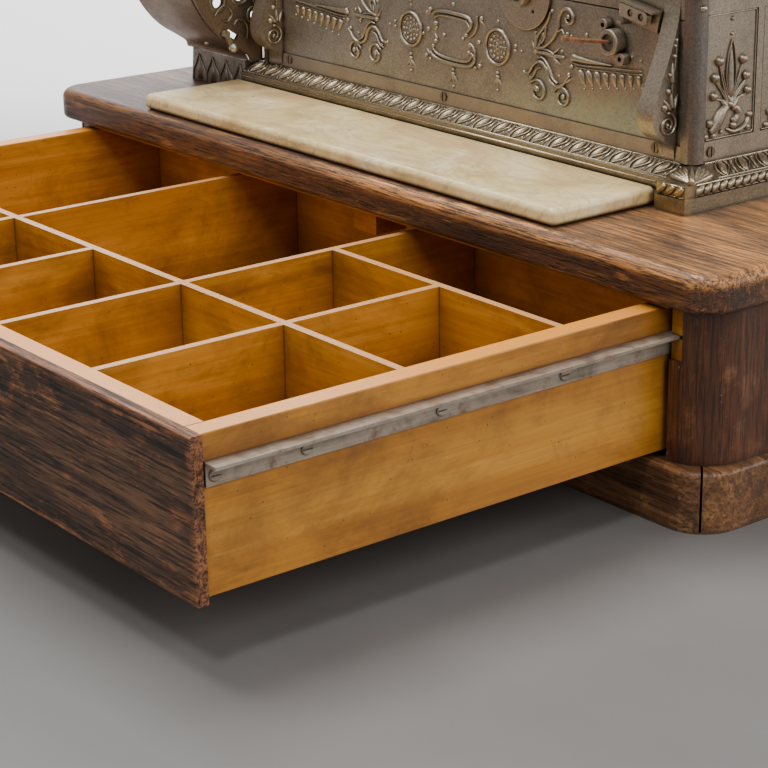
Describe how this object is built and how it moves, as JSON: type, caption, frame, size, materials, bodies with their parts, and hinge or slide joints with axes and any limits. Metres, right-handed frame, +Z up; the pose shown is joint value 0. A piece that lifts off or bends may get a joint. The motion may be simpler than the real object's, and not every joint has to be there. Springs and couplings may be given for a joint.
{
  "type": "cash register",
  "caption": "Wide antique cash register: ornate nickel-plated case with round keys, marble slab and side paper bay on an oak base with a divided cash drawer.",
  "frame": {"origin": "centre of the base's underside, on the counter", "axes": "+Z up, -Y towards the operator and the way the drawer opens, +X to the operator's right"},
  "size_m": [0.8, 0.8204, 0.642],
  "materials": {
    "oak_top": "old varnished oak, worn edges",
    "oak_dark": "dark varnished oak",
    "oak_front": "blackened oak, worn",
    "plain_pine": "plain pine",
    "varnished_pine": "amber varnish",
    "worn_steel": "worn, tarnished",
    "marble": "polished, faint veins",
    "nickel_case": "aged nickel plate",
    "case_screw": "aged",
    "window_glass": "clear",
    "rusty_iron": "rusty",
    "paper": "plain",
    "bell_brass": "plain",
    "key_metal": "nickel rim and stem",
    "tablet_enamel": "white enamel"
  },
  "bodies": {
    "cabinet": {"base_board": "plain_pine", "bay_foot": "nickel_case", "bay_frame": "nickel_case", "bell": "bell_brass", "case_base": "nickel_case", "case_screws": "case_screw", "console_brackets": "nickel_case", "corner_pilasters": "nickel_case", "corner_posts": "oak_dark", "drawer_guides": "plain_pine", "front_panel": "nickel_case", "front_rail": "plain_pine", "hood": "nickel_case", "keyboard_plate": "nickel_case", "lock_fittings": "nickel_case", "marble_slab": "marble", "plinth_boards": "oak_dark", "rear_board": "plain_pine", "rear_panel": "nickel_case", "side_boards": "oak_dark", "side_panels": "nickel_case", "sill_moulding": "nickel_case", "top_board": "oak_top", "top_sign": "nickel_case", "window_panes": "window_glass"},
    "drawer": {"drawer_front": "oak_front", "drawer_inner_front": "varnished_pine", "drawer_sides": "varnished_pine", "drawer_back": "varnished_pine", "drawer_bottom": "varnished_pine", "cross_dividers": "varnished_pine", "long_dividers": "varnished_pine", "slide_rails": "worn_steel", "rail_screws": "worn_steel"},
    "bay_cover": {"bay_cover": "nickel_case"},
    "bay_hook": {"bay_hook": "nickel_case"},
    "paper_roll": {"paper_roll": "paper"},
    "upper_key": {"upper_key": "rusty_iron"},
    "lower_key": {"lower_key": "rusty_iron"},
    "hasp_strap": {"hasp_strap": "worn_steel"},
    "drawer_latch": {"drawer_latch": "worn_steel"},
    "counter_wheels": {"counter_wheels": "bell_brass"},
    "key_1": {"key_1": "key_metal"},
    "tablet_1": {"tablet_1": "tablet_enamel"},
    "key_2": {"key_2": "key_metal"},
    "tablet_2": {"tablet_2": "tablet_enamel"},
    "key_3": {"key_3": "key_metal"},
    "tablet_3": {"tablet_3": "tablet_enamel"},
    "key_4": {"key_4": "key_metal"},
    "tablet_4": {"tablet_4": "tablet_enamel"},
    "key_5": {"key_5": "key_metal"},
    "tablet_5": {"tablet_5": "tablet_enamel"},
    "key_6": {"key_6": "key_metal"},
    "tablet_6": {"tablet_6": "tablet_enamel"},
    "key_7": {"key_7": "key_metal"},
    "tablet_7": {"tablet_7": "tablet_enamel"},
    "key_8": {"key_8": "key_metal"},
    "tablet_8": {"tablet_8": "tablet_enamel"},
    "key_9": {"key_9": "key_metal"},
    "tablet_9": {"tablet_9": "tablet_enamel"}
  },
  "joints": [
    {"name": "drawer_slide", "type": "slide", "parent": "cabinet", "child": "drawer", "axis": [0, -1, 0], "range_m": [-0.36, 0]},
    {"name": "bay_cover_hinge", "type": "hinge", "parent": "cabinet", "child": "bay_cover", "pos_m": [-0.3, 0.022, 0.366], "axis": [-1, 0, 0], "range_deg": [0, 75]},
    {"name": "bay_hook_turn", "type": "hinge", "parent": "cabinet", "child": "bay_hook", "pos_m": [-0.247, -0.149, 0.23], "axis": [1, 0, 0], "range_deg": [0, 70]},
    {"name": "paper_roll_spin", "type": "hinge", "parent": "cabinet", "child": "paper_roll", "pos_m": [-0.3, -0.112, 0.334], "axis": [1, 0, 0], "continuous": true},
    {"name": "upper_key_turn", "type": "hinge", "parent": "cabinet", "child": "upper_key", "pos_m": [0.0883, -0.1154, 0.301], "axis": [0, 1, 0], "range_deg": [-90, 90]},
    {"name": "lower_key_turn", "type": "hinge", "parent": "cabinet", "child": "lower_key", "pos_m": [0.1853, -0.1154, 0.2777], "axis": [0, 1, 0], "range_deg": [-90, 90]},
    {"name": "hasp_swing", "type": "hinge", "parent": "cabinet", "child": "hasp_strap", "pos_m": [0.199, -0.117, 0.3034], "axis": [0, 0, 1], "range_deg": [-110, 0]},
    {"name": "drawer_latch_drop", "type": "slide", "parent": "cabinet", "child": "drawer_latch", "axis": [0, 0, 1], "range_m": [-0.025, 0]},
    {"name": "counter_spin", "type": "hinge", "parent": "cabinet", "child": "counter_wheels", "pos_m": [0.0055, -0.06, 0.262], "axis": [1, 0, 0], "continuous": true},
    {"name": "key_1_press", "type": "slide", "parent": "cabinet", "child": "key_1", "axis": [0, 0.6417, -0.767], "range_m": [0, 0.009], "stiffness_N_per_m": 250, "springref_m": -0.008},
    {"name": "tablet_1_rise", "type": "slide", "parent": "cabinet", "child": "tablet_1", "axis": [0, 0, 1], "range_m": [0, 0.0486]},
    {"name": "key_2_press", "type": "slide", "parent": "cabinet", "child": "key_2", "axis": [0, 0.6417, -0.767], "range_m": [0, 0.009], "stiffness_N_per_m": 250, "springref_m": -0.008},
    {"name": "tablet_2_rise", "type": "slide", "parent": "cabinet", "child": "tablet_2", "axis": [0, 0, 1], "range_m": [0, 0.0486]},
    {"name": "key_3_press", "type": "slide", "parent": "cabinet", "child": "key_3", "axis": [0, 0.6417, -0.767], "range_m": [0, 0.009], "stiffness_N_per_m": 250, "springref_m": -0.008},
    {"name": "tablet_3_rise", "type": "slide", "parent": "cabinet", "child": "tablet_3", "axis": [0, 0, 1], "range_m": [0, 0.0486]},
    {"name": "key_4_press", "type": "slide", "parent": "cabinet", "child": "key_4", "axis": [0, 0.6417, -0.767], "range_m": [0, 0.009], "stiffness_N_per_m": 250, "springref_m": -0.008},
    {"name": "tablet_4_rise", "type": "slide", "parent": "cabinet", "child": "tablet_4", "axis": [0, 0, 1], "range_m": [0, 0.0486]},
    {"name": "key_5_press", "type": "slide", "parent": "cabinet", "child": "key_5", "axis": [0, 0.6417, -0.767], "range_m": [0, 0.009], "stiffness_N_per_m": 250, "springref_m": -0.008},
    {"name": "tablet_5_rise", "type": "slide", "parent": "cabinet", "child": "tablet_5", "axis": [0, 0, 1], "range_m": [0, 0.0486]},
    {"name": "key_6_press", "type": "slide", "parent": "cabinet", "child": "key_6", "axis": [0, 0.6417, -0.767], "range_m": [0, 0.009], "stiffness_N_per_m": 250, "springref_m": -0.008},
    {"name": "tablet_6_rise", "type": "slide", "parent": "cabinet", "child": "tablet_6", "axis": [0, 0, 1], "range_m": [0, 0.0486]},
    {"name": "key_7_press", "type": "slide", "parent": "cabinet", "child": "key_7", "axis": [0, 0.6417, -0.767], "range_m": [0, 0.009], "stiffness_N_per_m": 250, "springref_m": -0.008},
    {"name": "tablet_7_rise", "type": "slide", "parent": "cabinet", "child": "tablet_7", "axis": [0, 0, 1], "range_m": [0, 0.0486]},
    {"name": "key_8_press", "type": "slide", "parent": "cabinet", "child": "key_8", "axis": [0, 0.6417, -0.767], "range_m": [0, 0.009], "stiffness_N_per_m": 250, "springref_m": -0.008},
    {"name": "tablet_8_rise", "type": "slide", "parent": "cabinet", "child": "tablet_8", "axis": [0, 0, 1], "range_m": [0, 0.0486]},
    {"name": "key_9_press", "type": "slide", "parent": "cabinet", "child": "key_9", "axis": [0, 0.6417, -0.767], "range_m": [0, 0.009], "stiffness_N_per_m": 250, "springref_m": -0.008},
    {"name": "tablet_9_rise", "type": "slide", "parent": "cabinet", "child": "tablet_9", "axis": [0, 0, 1], "range_m": [0, 0.0486]}
  ],
  "couplings": [
    {"joint": "tablet_1_rise", "follows": "key_1_press", "ratio": 5.4},
    {"joint": "tablet_2_rise", "follows": "key_2_press", "ratio": 5.4},
    {"joint": "tablet_3_rise", "follows": "key_3_press", "ratio": 5.4},
    {"joint": "tablet_4_rise", "follows": "key_4_press", "ratio": 5.4},
    {"joint": "tablet_5_rise", "follows": "key_5_press", "ratio": 5.4},
    {"joint": "tablet_6_rise", "follows": "key_6_press", "ratio": 5.4},
    {"joint": "tablet_7_rise", "follows": "key_7_press", "ratio": 5.4},
    {"joint": "tablet_8_rise", "follows": "key_8_press", "ratio": 5.4},
    {"joint": "tablet_9_rise", "follows": "key_9_press", "ratio": 5.4}
  ]
}
